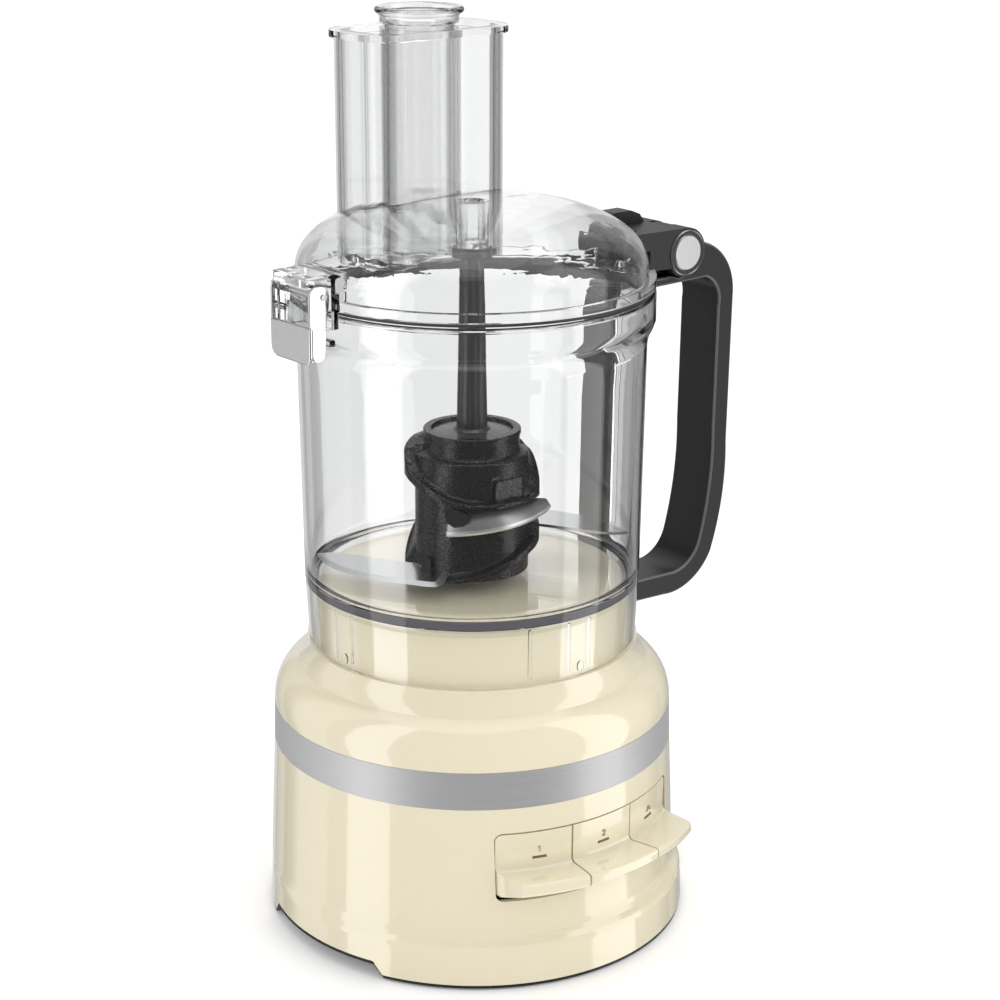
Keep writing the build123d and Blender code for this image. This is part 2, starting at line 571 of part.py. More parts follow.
with BuildPart() as handle:
    with BuildSketch(Plane.XZ):
        with BuildLine():
            Polyline((87, 135.2), (117, 133.9))
            ThreePointArc((117, 133.9), (138.0, 138.4), (150.0, 151.0))
            ThreePointArc((150.0, 151.0), (156.8, 176), (158.8, 210))
            Line((158.8, 210), (160.1, 286))
            ThreePointArc((160.1, 286), (154.6, 305.6), (136, 317))
            Polyline((136, 317), (122, 317), (122, 302.1), (87, 302.1), (87, 135.2))
        make_face()
    extrude(amount=HANDLE_HALF, both=True)
    extrude(finger_gap.sketch, amount=HANDLE_HALF + 1, both=True, mode=Mode.SUBTRACT)
    # room for the turning hinge barrel on both sides of the middle knuckle
    for side in (1, -1):
        cross(BARREL_R + 1.0, 7, (HINGE_X, side * (KNUCKLE_HALF + 7.1), HINGE_Z), mode=Mode.SUBTRACT)
    cross(BARREL_R - 0.3, KNUCKLE_HALF, (HINGE_X, 0, HINGE_Z))
    cross(HINGE_PIN_R + PRESS, 20, (HINGE_X, 0, HINGE_Z), mode=Mode.SUBTRACT)
    # pocket for the bowl's lower lug, and the two screw holes
    block((80, -LUG_HALF - 0.3, LOW_LUG[0] - 0.2), (96.3, LUG_HALF + 0.3, 150), mode=Mode.SUBTRACT)
    upright(1.7, 130, 142, at=(LOW_SCREW_X, 0), mode=Mode.SUBTRACT)
    upright(3.3, 130, 137, at=(LOW_SCREW_X, 0), mode=Mode.SUBTRACT)
    upright(1.7, 290, 303, at=(HIGH_SCREW_X, 0), mode=Mode.SUBTRACT)
    upright(3.0, 290, 299, at=(HIGH_SCREW_X, 0), mode=Mode.SUBTRACT)
    # seat of the soft inner cover
    extrude(lining(2.0), amount=10.6, both=True, mode=Mode.SUBTRACT)
finish(handle, "handle")

with BuildPart() as handle_cover:
    extrude(lining(1.9), amount=10.4, both=True)
finish(handle_cover, "handle_cover")

with BuildPart() as handle_spine:
    turn([(80.1, 147), (81.25, 172), (82.8, 286), (83.9, 290.4), (85.2, 293.6), (86.6, 297.2), (89.4, 297.2),
          (88.7, 294), (87.2, 290), (86.0, 286), (84.5, 172), (83.4, 147)], start=-7.4, arc=14.8)
finish(handle_spine, "handle_spine")

with BuildPart() as handle_screws:
    upright(2.9, 134.4, 136.9, at=(LOW_SCREW_X, 0))
    upright(1.5, 136.9, 144.6, at=(LOW_SCREW_X, 0))
    upright(2.7, 297.4, 298.9, at=(HIGH_SCREW_X, 0))
    upright(1.5, 298.9, 305.9, at=(HIGH_SCREW_X, 0))
finish(handle_screws, "handle_screws")

with BuildPart() as hinge_pin:
    cross(HINGE_PIN_R, 16.3, (HINGE_X, 0, HINGE_Z))
finish(hinge_pin, "hinge_pin")

with BuildPart() as hinge_caps:
    for side in (1, -1):
        cross(8.9, 1.3, (HINGE_X, side * 17.6, HINGE_Z))
    chamfer(hinge_caps.edges().filter_by(GeomType.CIRCLE).group_by(Axis.Y)[0], 0.6)
    chamfer(hinge_caps.edges().filter_by(GeomType.CIRCLE).group_by(Axis.Y)[-1], 0.6)
finish(hinge_caps, "hinge_caps")

# ---------------------------------------------------------------- lid
BOSS_R, BOSS_LOW = 7.9, 331.3
TONGUE_X = 96.5
BRACKET_SCREWS = [(92, 9), (92, -9)]

with BuildPart() as lid:
    with BuildSketch(Plane.XZ):
        with BuildLine():
            Polyline((FLANGE_R, FLANGE_LOW), (FLANGE_R, FLANGE_TOP), (DOME_R + 0.1, FLANGE_TOP), (DOME_R, 322))
            Spline((DOME_R, 322), (81.5, 327.2), (78.4, 333), (71.6, 339.2), (62.5, 344.1), (52, 347.6),
                   (40, 350.0), (20, 351.5), (0, DOME_TOP))
            Line((0, DOME_TOP), (0, DOME_TOP - 2.6))
            Spline((0, DOME_TOP - 2.6), (20, 348.9), (39.6, 347.4), (51.2, 345.1), (61.3, 341.7), (70.0, 337.1),
                   (76.4, 331.2), (79.1, 326.4), (79.9, 321.5))
            Polyline((79.9, 321.5), (80.0, 308.2), (82.6, 308.2), (82.6, FLANGE_LOW), (FLANGE_R, FLANGE_LOW))
        make_face()
    revolve(axis=Axis.Z)
    # feed tube, which goes on below the dome as the chute
    rounded_prism(CHUTE_X, CHUTE_W, CHUTE_CORNER, 321, CHUTE_TOP, y=CHUTE_Y)
    rounded_prism(CHUTE_X - 2 * CHUTE_WALL, CHUTE_W - 2 * CHUTE_WALL, CHUTE_CORNER - CHUTE_WALL, 310, 430,
                  y=CHUTE_Y, mode=Mode.SUBTRACT)
    # centre boss that steadies the drive stem
    upright(BOSS_R, BOSS_LOW, DOME_TOP - 0.8)
    upright(4.9, 334, 353, mode=Mode.SUBTRACT)
    # latch block with its pocket, tongue for the hinge bracket
    block((-99.5, -LATCH_HALF, 306), (-81.0, LATCH_HALF, 331))
    block((-103, -LATCH_HALF, 326), (-99, LATCH_HALF, 331))
    block((-97.2, -9.4, 300), (-88.4, 9.4, 328.6), mode=Mode.SUBTRACT)
    turn([(70, 300), (86.9, 300), (86.9, FLANGE_LOW), (83, FLANGE_LOW), (83, 308), (70, 308)],
         mode=Mode.SUBTRACT, start=170, arc=20)
    cross(LATCH_PIN_R + PRESS, 20, (LATCH_X, 0, LATCH_Z), mode=Mode.SUBTRACT)
    block((83, -13, FLANGE_LOW + 0.2), (TONGUE_X, 13, FLANGE_TOP))
    with Locations(*[(x, y, 316) for x, y in BRACKET_SCREWS]):
        Cylinder(1.3, 6, mode=Mode.SUBTRACT)
finish(lid, "lid")

with BuildPart() as lid_seal:
    turn([(83.0, 310.8), (85.9, 310.8), (85.9, 313.3), (83.0, 313.3)])
finish(lid_seal, "lid_seal")

with BuildPart() as lid_bush:
    turn([(6.3, 326), (9.35, 326), (9.35, 331.2), (6.3, 331.2)])
finish(lid_bush, "lid_bush")

with BuildPart() as hinge_bracket:
    slab([(82.9, 317.9), (82.9, 325.6), (84.6, 327.0), (HINGE_X, HINGE_Z + BARREL_R), (HINGE_X, 307),
          (97.2, 307.6), (97.2, 317.9)], BARREL_HALF)
    cross(BARREL_R, BARREL_HALF, (HINGE_X, 0, HINGE_Z))
    # raised cover on the rear ear
    slab([(90, 326), (93, 331), (97, 332.8), (108, 332.8), (114, 330.4), (117, 326.2), (117, 322), (94, 322)],
         5, middle=13)
    upright(82.8, 300, 340, mode=Mode.SUBTRACT)
    cross(BARREL_R + 0.7, KNUCKLE_HALF + 0.5, (HINGE_X, 0, HINGE_Z), mode=Mode.SUBTRACT)
    cross(HINGE_PIN_R + RUN, 30, (HINGE_X, 0, HINGE_Z), mode=Mode.SUBTRACT)
    for side in (1, -1):
        cross(9.2, 1.1, (HINGE_X, side * (BARREL_HALF - 0.9), HINGE_Z), mode=Mode.SUBTRACT)
    with Locations(*[(x, y, 322) for x, y in BRACKET_SCREWS]):
        Cylinder(1.6, 24, mode=Mode.SUBTRACT)
    with Locations(*[(x, y, 329) for x, y in BRACKET_SCREWS]):
        Cylinder(2.9, 9, mode=Mode.SUBTRACT)
finish(hinge_bracket, "hinge_bracket")

with BuildPart() as bracket_screws:
    with Locations(*[(x, y, 325.5) for x, y in BRACKET_SCREWS]):
        Cylinder(2.6, 1.8)
    with Locations(*[(x, y, 319.6) for x, y in BRACKET_SCREWS]):
        Cylinder(1.25, 10)
finish(bracket_screws, "bracket_screws")

with BuildPart() as latch_pin:
    cross(LATCH_PIN_R, 15.6, (LATCH_X, 0, LATCH_Z))
finish(latch_pin, "latch_pin")

with BuildPart() as latch_lever:
    for side in (1, -1):
        slab([(-103.4, 294), (-103.4, 324), (-101.4, 327), (-92.5, 327), (-89.0, 323), (-89.0, 296),
              (-91.5, 292), (-101.4, 292)], 1.1, middle=side * 14.1)
    block((-103.4, -15.2, 294), (-101.3, 15.2, 309))
    block((-102.4, -15.2, 292), (-89.0, 15.2, 294.6))
    cross(LATCH_PIN_R + 0.08, 30, (LATCH_X, 0, LATCH_Z), mode=Mode.SUBTRACT)
finish(latch_lever, "latch_lever")

# ---------------------------------------------------------------- pushers
PUSHER_GAP = 0.6
CUP_R, CUP_RIM_R, CUP_TOP = 16.0, 20.9, 437.0
with BuildPart() as large_pusher:
    inside = CHUTE_WALL + PUSHER_GAP
    length, width = CHUTE_X - 2 * inside, CHUTE_W - 2 * inside
    corner = CHUTE_CORNER - inside
    rounded_prism(length, width, corner, 322, CHUTE_TOP + 2, y=CHUTE_Y)
    rounded_prism(CHUTE_X + 4.8, CHUTE_W + 4.8, CHUTE_CORNER + 2.4, CHUTE_TOP + 0.3, CHUTE_TOP + 3.5, y=CHUTE_Y)
    rounded_prism(length - 3.4, width - 3.4, corner - 1.7, 324.4, 440, y=CHUTE_Y, mode=Mode.SUBTRACT)
    upright(CUP_R + 2.5, 322, CHUTE_TOP + 3.2, at=(0, CHUTE_Y))
    upright(CUP_R + 0.5, 320, 440, at=(0, CHUTE_Y), mode=Mode.SUBTRACT)
finish(large_pusher, "large_pusher")

with BuildPart() as small_pusher:
    upright(CUP_R, 323, 429, at=(0, CHUTE_Y))
    upright(18.7, CHUTE_TOP + 3.8, 435, at=(0, CHUTE_Y))
    upright(CUP_RIM_R, 434.2, CUP_TOP, at=(0, CHUTE_Y))
    upright(CUP_R - 1.6, 325, 440, at=(0, CHUTE_Y), mode=Mode.SUBTRACT)
finish(small_pusher, "small_pusher")

# ---------------------------------------------------------------- blade
BLADE_T = 1.4
LOW_BLADE_Z, HIGH_BLADE_Z, ROOT_BLADE_Z = 177.0, 189.6, 199.4


def sickle(low, turned, mode=Mode.ADD):
    """Curved blade with a pointed tip, cut from flat sheet."""
    with BuildSketch(Plane.XY.offset(low), mode=Mode.PRIVATE) as outline:
        with BuildLine():
            Spline((-24, -12), (-38, -22), (-47.4, -10.5), (-55, 3), (-60.2, 17.5), (-61.6, 32.6), (-57.6, 49.2))
            Spline((-57.6, 49.2), (-50.6, 45), (-43.4, 34.6), (-37.2, 22.5), (-29, 9), (-19, 2))
            Line((-19, 2), (-24, -12))
        make_face()
    flat = extrude(outline.sketch, amount=BLADE_T, mode=Mode.PRIVATE)
    add(flat.rotate(Axis.Z, turned), mode=mode)


def root_leaf(low, mode=Mode.ADD):
    """Narrow upper leaf that hugs the front of the hub and ends in a round heel."""
    with BuildSketch(Plane.XY.offset(low), mode=Mode.PRIVATE) as outline:
        with BuildLine():
            Spline((-20, -13), (-32.5, -20.4), (-11, -30.4), (9.5, -29.6), (26, -23), (39, -12.2), (41.6, 0.5))
            ThreePointArc((41.6, 0.5), (38.6, 5.6), (32.6, 6.6))
            Polyline((32.6, 6.6), (20, 6.6), (-20, -13))
        make_face()
    extrude(outline.sketch, amount=BLADE_T, mode=mode)


def upper_steel(mode):
    """Upper blade: the sickle, the root leaf and the upright web that joins them inside the hub."""
    sickle(HIGH_BLADE_Z, 180, mode)
    root_leaf(ROOT_BLADE_Z, mode)
    turn([(19.5, HIGH_BLADE_Z), (22, HIGH_BLADE_Z), (22, ROOT_BLADE_Z + BLADE_T), (19.5, ROOT_BLADE_Z + BLADE_T)],
         mode=mode, start=-40, arc=40)


with BuildPart() as lower_blade:
    sickle(LOW_BLADE_Z, 0)
    upright(18, LOW_BLADE_Z - 1, LOW_BLADE_Z + 3, mode=Mode.SUBTRACT)
finish(lower_blade, "lower_blade")

with BuildPart() as upper_blade:
    upper_steel(Mode.ADD)
    upright(18, HIGH_BLADE_Z - 1, ROOT_BLADE_Z + 3, mode=Mode.SUBTRACT)
finish(upper_blade, "upper_blade")

def sloping_plane(height, slope_x, slope_y):
    """Plane that crosses the axis at this height and climbs by these slopes along X and Y."""
    return Plane(origin=(0, 0, height), z_dir=(-slope_x, -slope_y, 1))


def lifting_disc(low, top):
    """Disc of the hub's full radius between two sloping planes, to lift food off the blades."""
    with BuildPart() as disc:
        upright(HUB_FLANGE_R, 160, 236)
        split(bisect_by=sloping_plane(*low), keep=Keep.TOP)
        split(bisect_by=sloping_plane(*top), keep=Keep.BOTTOM)
    return disc.part


upper_disc = lifting_disc((214.6, -0.096, 0.100), (226.5, 0.020, 0.400))
lower_disc = lifting_disc((183.0, 0.250, -0.030), (188.0, 0.270, -0.040))

with BuildPart() as blade_hub:
    turn([(15.2, HUB_LOW), (27.4, HUB_LOW), (HUB_R, 230.4), (25.6, 232), (23.2, 233.6), (22.6, 238), (23.1, 241),
          (23.1, HUB_TOP), (19.3, HUB_TOP), (19.3, 240), (15.2, 240)])
    upright(16, 230.2, 240)
    add(upper_disc)
    add(lower_disc)
    upright(15.2, 170, 230.2, mode=Mode.SUBTRACT)
    block((-40, -40, 160), (40, 40, HUB_LOW), mode=Mode.SUBTRACT)
    # six-sided drive socket and the slots of the blades' roots
    with BuildSketch(Plane.XY.offset(230), mode=Mode.PRIVATE) as socket:
        RegularPolygon(SOCKET_R + 0.35, 6)
    extrude(socket.sketch, amount=9.4, mode=Mode.SUBTRACT)
    sickle(LOW_BLADE_Z, 0, Mode.SUBTRACT)
    upper_steel(Mode.SUBTRACT)
finish(blade_hub, "blade_hub")

STEM_FLUTES = 8
with BuildPart() as drive_stem:
    turn([(0, 240.1), (19, 240.1), (19, 241.6), (9, 242.4), (7.4, 243.6), (5.8, 320), (5.2, 326), (4.3, 331),
          (0, 331)])
    for count in range(STEM_FLUTES):
        lean = degrees(atan2(7.4 - 5.8, 320 - 243.6))
        with Locations(Location((0, 0, 0), (0, 0, count * 360 / STEM_FLUTES)) * Location((7.6, 0, 284), (0, -lean, 0))):
            Cylinder(1.1, 70, mode=Mode.SUBTRACT)
finish(drive_stem, "drive_stem")
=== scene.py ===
import bpy, bmesh, json, math
from math import cos, pi, radians, sin
from mathutils import Matrix, Vector


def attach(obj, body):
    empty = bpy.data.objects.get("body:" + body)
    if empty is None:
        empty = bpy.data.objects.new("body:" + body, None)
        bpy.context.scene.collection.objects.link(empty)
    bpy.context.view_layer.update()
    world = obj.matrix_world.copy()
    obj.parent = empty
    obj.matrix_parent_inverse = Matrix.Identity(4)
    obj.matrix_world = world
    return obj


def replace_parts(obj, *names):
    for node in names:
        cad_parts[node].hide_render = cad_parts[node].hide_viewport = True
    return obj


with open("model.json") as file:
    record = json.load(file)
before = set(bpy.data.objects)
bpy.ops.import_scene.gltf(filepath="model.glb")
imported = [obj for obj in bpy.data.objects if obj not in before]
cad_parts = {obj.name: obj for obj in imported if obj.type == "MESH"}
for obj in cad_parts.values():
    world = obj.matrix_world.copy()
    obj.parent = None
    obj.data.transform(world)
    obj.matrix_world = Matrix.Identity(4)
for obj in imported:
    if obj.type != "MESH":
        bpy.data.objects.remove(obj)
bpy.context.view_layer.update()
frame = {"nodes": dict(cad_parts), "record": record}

NODES = frame["nodes"]
SCENE = bpy.context.scene
MM = 0.001
FRONT = -129  # direction of the viewer, in degrees about the bowl's axis


# ---------------------------------------------------------------- mesh helpers (millimetres in, metres out)
def make(name, verts, faces, material, body=None, smooth=30):
    """New object from millimetre vertices; rides on a body, shaded smooth below an angle."""
    mesh = bpy.data.meshes.new(name)
    mesh.from_pydata([tuple(c * MM for c in v) for v in verts], [], faces)
    mesh.validate()
    bm = bmesh.new()
    bm.from_mesh(mesh)
    bmesh.ops.remove_doubles(bm, verts=bm.verts, dist=1e-6)
    bmesh.ops.recalc_face_normals(bm, faces=bm.faces)
    bm.to_mesh(mesh)
    bm.free()
    obj = bpy.data.objects.new(name, mesh)
    SCENE.collection.objects.link(obj)
    for m in material if isinstance(material, (list, tuple)) else [material]:
        mesh.materials.append(m)
    soften(obj, smooth)
    if body:
        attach(obj, body)
    return obj


def soften(obj, angle):
    """Smooth shading with edges sharper than this angle kept sharp."""
    for f in obj.data.polygons:
        f.use_smooth = True
    obj.data.set_sharp_from_angle(angle=radians(angle))


def bevel(obj, width, segments=3, angle=30):
    """Rounded edges."""
    m = obj.modifiers.new("edges", "BEVEL")
    m.width = width * MM
    m.segments = segments
    m.limit_method = "ANGLE"
    m.angle_limit = radians(angle)
    m.harden_normals = False
    return obj


def lathe(name, loop, material, body=None, steps=192, smooth=30):
    """Turns a closed outline of (radius, height) about Z; the outline may be a function of the angle."""
    loops = [loop(2 * pi * i / steps) if callable(loop) else loop for i in range(steps)]
    n = len(loops[0])
    verts = [(r * cos(2 * pi * i / steps), r * sin(2 * pi * i / steps), z) for i in range(steps) for r,
             z in loops[i]]
    faces = []
    for i in range(steps):
        j = (i + 1) % steps
        for k in range(n):
            m = (k + 1) % n
            faces.append((i * n + k, j * n + k, j * n + m, i * n + m))
    return make(name, verts, faces, material, body, smooth)


def hoop(name, loop, centre, material, body, steps=96):
    """Turns a closed outline of (radius, y) about an axis along Y through (x, z)."""
    n = len(loop)
    verts = [(centre[0] + r * cos(2 * pi * i / steps), y, centre[1] + r * sin(2 * pi * i / steps))
             for i in range(steps) for r, y in loop]
    faces = [(i * n + k, (i + 1) % steps * n + k, (i + 1) % steps * n + (k + 1) % n, i * n + (k + 1) % n)
             for i in range(steps) for k in range(n)]
    return make(name, verts, faces, material, body)


def arc(a, b, c, count=8):
    """Points of the circle through a, b and c, from a to c."""
    ax, ay, bx, by, cx, cy = *a, *b, *c
    d = 2 * (ax * (by - cy) + bx * (cy - ay) + cx * (ay - by))
    sa, sb, sc = ax * ax + ay * ay, bx * bx + by * by, cx * cx + cy * cy
    ux = (sa * (by - cy) + sb * (cy - ay) + sc * (ay - by)) / d
    uy = (sa * (cx - bx) + sb * (ax - cx) + sc * (bx - ax)) / d
    t0, t1, t2 = (math.atan2(y - uy, x - ux) for x, y in (a, b, c))
    r = math.hypot(ax - ux, ay - uy)
    turn = (t2 - t0) % (2 * pi)
    if (t1 - t0) % (2 * pi) > turn:
        turn -= 2 * pi
    return [(ux + r * cos(t0 + turn * i / count),
             uy + r * sin(t0 + turn * i / count)) for i in range(count + 1)]


def prism_faces(n):
    """Two ends and the sides of a prism whose 2 n points are one end and then the other."""
    return [tuple(range(n)), tuple(range(2 * n - 1, n - 1, -1))] + [
        (i, (i + 1) % n, n + (i + 1) % n, n + i) for i in range(n)]


def slab(name, outline, y0, y1, material, body=None, smooth=30):
    """Outline of (x, z) between two y values."""
    return make(name, [(x, y, z) for y in (y0, y1) for x, z in outline], prism_faces(len(outline)),
                material, body,
                smooth)


def plate(name, outline, x0, x1, material, body=None, smooth=30):
    """Outline of (y, z) between two x values."""
    return make(name, [(x, y, z) for x in (x0, x1) for y, z in outline], prism_faces(len(outline)),
                material, body,
                smooth)


def patch(name, outline, inner, outer, material, body):
    """Small shape on an upright wall: outline of (degrees about Z, height) between two radii."""
    verts = [(r * cos(radians(a)), r * sin(radians(a)), z) for r in (inner, outer) for a, z in outline]
    return make(name, verts, prism_faces(len(outline)), material, body)


def round_box(a0, a1, z0, z1, radius):
    """Outline of (degrees, height) with rounded corners, whose radius is given in degrees."""
    tall = 1.9 * radius
    corners = 4
    out = []
    for ca, cz, start in ((a1 - radius, z1 - tall, 0), (a0 + radius, z1 - tall, 90),
                          (a0 + radius, z0 + tall, 180), (a1 - radius, z0 + tall, 270)):
        for k in range(corners + 1):
            w = radians(start + 90 * k / corners)
            out.append((ca + radius * cos(w), cz + tall * sin(w)))
    return out


def smooth_path(points, steps=6):
    """Catmull-Rom curve through points of any dimension."""
    full = [points[0], *points, points[-1]]
    out = []
    for i in range(len(points) - 1):
        a, b, c, d = full[i:i + 4]
        for k in range(steps):
            s = k / steps
            out.append(tuple(0.5 * (2 * q + (r - p) * s + (2 * p - 5 * q + 4 * r - u) * s * s
                                    + (3 * q - p - 3 * r + u) * s ** 3) for p, q, r, u in zip(a, b, c, d)))
    return out + [tuple(points[-1])]


# ---------------------------------------------------------------- materials
def new_material(name):
    """Material, its node tree and its Principled shader."""
    m = bpy.data.materials.new(name)
    m.use_nodes = True
    nt = m.node_tree
    return m, nt, nt.nodes["Principled BSDF"]


def noise(nt, scale, detail, stretch=(1, 1, 1)):
    """Noise in object space, in metres."""
    tc = nt.nodes.new("ShaderNodeTexCoord")
    mp = nt.nodes.new("ShaderNodeMapping")
    mp.inputs["Scale"].default_value = stretch
    nz = nt.nodes.new("ShaderNodeTexNoise")
    nz.inputs["Scale"].default_value = scale
    nz.inputs["Detail"].default_value = detail
    nz.inputs["Roughness"].default_value = 0.5
    nt.links.new(tc.outputs["Object"], mp.inputs["Vector"])
    nt.links.new(mp.outputs["Vector"], nz.inputs["Vector"])
    return nz.outputs["Fac"]


def ramp(nt, fac, low, high):
    """Maps a factor from 0..1 to low..high."""
    mr = nt.nodes.new("ShaderNodeMapRange")
    for key, value in (("From Min", 0.0), ("From Max", 1.0), ("To Min", low), ("To Max", high)):
        mr.inputs[key].default_value = value
    nt.links.new(fac, mr.inputs["Value"])
    return mr.outputs["Result"]


def tint(nt, fac, dark, light):
    """Colour between dark and light."""
    mix = nt.nodes.new("ShaderNodeMix")
    mix.data_type = "RGBA"
    mix.inputs["A"].default_value = (*dark, 1)
    mix.inputs["B"].default_value = (*light, 1)
    nt.links.new(fac, mix.inputs["Factor"])
    return mix.outputs["Result"]


def bump(nt, bsdf, fac, distance):
    """Relief of this height, in metres, from a factor."""
    b = nt.nodes.new("ShaderNodeBump")
    b.inputs["Distance"].default_value = distance
    b.inputs["Strength"].default_value = 1.0
    nt.links.new(fac, b.inputs["Height"])
    nt.links.new(b.outputs["Normal"], bsdf.inputs["Normal"])


def surface(name, dark, light, rough, scale, depth, metallic=0.0, coat=0.0, spread=0.06, stretch=(1, 1, 1)):
    """Solid surface whose colour and roughness vary slightly and whose relief is fine."""
    m, nt, p = new_material(name)
    n = noise(nt, scale, 4.0, stretch)
    nt.links.new(tint(nt, n, dark, light), p.inputs["Base Color"])
    nt.links.new(ramp(nt, n, max(0.02, rough - spread), rough + spread), p.inputs["Roughness"])
    p.inputs["Metallic"].default_value = metallic
    p.inputs["IOR"].default_value = 1.5
    if coat:
        p.inputs["Coat Weight"].default_value = coat
        p.inputs["Coat Roughness"].default_value = 0.03
    bump(nt, p, n, depth)
    return m


def clear(name, colour):
    """Clear moulded plastic with very slight waviness."""
    m, nt, p = new_material(name)
    p.inputs["Base Color"].default_value = (*colour, 1)
    p.inputs["Transmission Weight"].default_value = 1.0
    p.inputs["IOR"].default_value = 1.46
    n = noise(nt, 60, 2.0)
    nt.links.new(ramp(nt, n, 0.0, 0.02), p.inputs["Roughness"])
    bump(nt, p, n, 0.00002)
    return m


def see_through(obj):
    """Lets soft light reach what stands behind clear plastic."""
    obj.visible_shadow = obj.visible_diffuse = False


CREAM = surface("cream", (0.80, 0.73, 0.545), (0.84, 0.775, 0.585), 0.13, 900, 0.000003, coat=1.0,
                spread=0.02)
BAND = surface("band", (0.60, 0.60, 0.61), (0.74, 0.74, 0.75), 0.5, 260, 0.00001, 0.65, stretch=(0.06, 0.06,
                                                                                                 9))
CAP = surface("brushed cap", (0.50, 0.50, 0.51), (0.68, 0.68, 0.69), 0.34, 700, 0.00001, 1.0, stretch=(4, 1,
                                                                                                       0.1))
GRIP = surface("grip", (0.006, 0.006, 0.007), (0.012, 0.012, 0.013), 0.42, 1600, 0.00003)
GRIP_DARK = surface("grip inner", (0.002, 0.002, 0.003), (0.005, 0.005, 0.006), 0.34, 1200, 0.00001)
# lighter grey for the grip's rounded edges: a painted highlight
GRIP_EDGE_HIGHLIGHT = surface("grip edge painted highlight", (0.10, 0.10, 0.10), (0.14, 0.14, 0.14), 0.35, 1600, 0.00001)
BLACK = surface("black", (0.006, 0.006, 0.007), (0.02, 0.02, 0.022), 0.3, 1500, 0.00008)
HUB = surface("hub", (0.001, 0.001, 0.001), (0.016, 0.016, 0.016), 0.27, 1500, 0.00003, spread=0.13)
# upright streaks in the stem's colour are painted light and shade standing in for its flutes
STEM_PAINTED_FLUTE_SHADE = surface("stem", (0.001, 0.001, 0.002), (0.085, 0.085, 0.09), 0.2, 420, 0.00001, stretch=(1, 1, 0.02))
# painted dark refraction for the corner between the bowl's floor and wall
CORNER_PAINTED_REFRACTION = surface("corner painted dark refraction", (0.075, 0.07, 0.085), (0.12, 0.115, 0.13), 0.5, 1400, 0.00002)
RUBBER = surface("rubber", (0.010, 0.010, 0.010), (0.022, 0.022, 0.022), 0.6, 900, 0.00002)
SEAL = surface("seal", (0.030, 0.030, 0.031), (0.045, 0.045, 0.046), 0.5, 900, 0.00002)
CHROME = surface("chrome", (0.76, 0.76, 0.77), (0.84, 0.84, 0.85), 0.06, 300, 0.000003, 1.0, spread=0.03)
STEEL = surface("steel", (0.62, 0.62, 0.63), (0.74, 0.74, 0.75), 0.2, 420, 0.000006, 1.0, stretch=(1, 14,
                                                                                                   1))
EDGE = surface("ground edge", (0.85, 0.85, 0.86), (0.95, 0.95, 0.96), 0.4, 900, 0.00001, 1.0, stretch=(1, 9,
                                                                                                       1))
SHEET = surface("stacked sheet", (0.12, 0.12, 0.13), (0.26, 0.26, 0.27), 0.4, 300, 0.00005, 1.0,
                stretch=(1, 1, 40))
COPPER = surface("copper", (0.45, 0.17, 0.07), (0.68, 0.30, 0.14), 0.3, 500, 0.0001, 1.0)
CASTING = surface("casting", (0.42, 0.42, 0.43), (0.55, 0.55, 0.56), 0.42, 700, 0.00006, 1.0)
BOARD = surface("board", (0.02, 0.09, 0.05), (0.03, 0.14, 0.07), 0.4, 300, 0.00002)
DASH = surface("dash", (0.16, 0.09, 0.055), (0.22, 0.13, 0.08), 0.4, 900, 0.00001)
PRINT = surface("print", (0.16, 0.14, 0.11), (0.2, 0.18, 0.14), 0.5, 900, 0.000002)
WHITE = surface("white print", (0.85, 0.85, 0.85), (0.92, 0.92, 0.92), 0.5, 900, 0.000002)
CLEAR = clear("clear plastic", (0.985, 0.99, 0.99))
THICK = clear("thick clear plastic", (0.945, 0.945, 0.945))

FINISH = {"cream_plastic": CREAM, "brushed_band": BAND, "dark_plastic": BLACK, "soft_rubber": RUBBER,
          "zinc_steel": STEEL, "cast_aluminium": CASTING, "bearing_steel": CHROME,
          "lamination_steel": SHEET,
          "copper_wire": COPPER, "brass_part": COPPER, "carbon": BLACK, "board_green": BOARD,
          "spring_steel": STEEL,
          "shaft_steel": STEEL, "copper_segments": COPPER, "clear_plastic": CLEAR, "grip_plastic": GRIP,
          "grip_soft": GRIP_DARK, "spine_plastic": GRIP_DARK, "chromed": CHROME, "seal_rubber": RUBBER,
          "hub_plastic": HUB, "blade_steel": STEEL, "lens_brown": DASH}
for part in frame["record"]["subparts"]:
    node = NODES[part["node"]]
    node.data.materials.clear()
    node.data.materials.append(FINISH[part["material_slot"]])
    soften(node, 32)
    if part["material_slot"] == "clear_plastic":
        see_through(node)
NODES["drive_stem"].data.materials[0] = STEM_PAINTED_FLUTE_SHADE
NODES["hinge_caps"].data.materials[0] = CAP
NODES["large_pusher"].data.materials[0] = THICK

# ---------------------------------------------------------------- pieces that replace their CAD nodes
# bowl: same section as the CAD node, turned finely
FLOOR_TOP, FLOOR_UNDER, TUBE_TOP = 172, 168.6, 229.0
TUBE_OUT, TUBE_IN = 14.5, 12
rim = arc((82.5, 286), (83.4, 290.2), (84.8, 293.5)) + arc((84.8, 293.5), (85.6, 295.4), (85.9, 297))[1:]
rim += [(86.2, 297.3), (86.2, 304), (86.2, 309.8), (85.7, 310.4), (83.9, 310.4), (83.4, 309.9), (83.4, 305)]
rim += arc((83.4, 301.6), (83.1, 298.0), (82.1, 294.8)) + arc((82.1, 294.8), (80.5, 291.2), (79.7, 287))[1:]
wall_in = [(79.7 - 1.4 * i / 12, 287 - 109 * i / 12) for i in range(1, 13)]
foot = arc((78.3, 178), (76.8, 173.8), (72.6, FLOOR_TOP))[1:]
floor_in = [(72.6 - 56 * i / 10, FLOOR_TOP) for i in range(1, 11)] + [(15.2, 172.7), (14.6, 174)]
tube = [(TUBE_OUT, 174 + 55 * i / 8) for i in range(1, 8)]
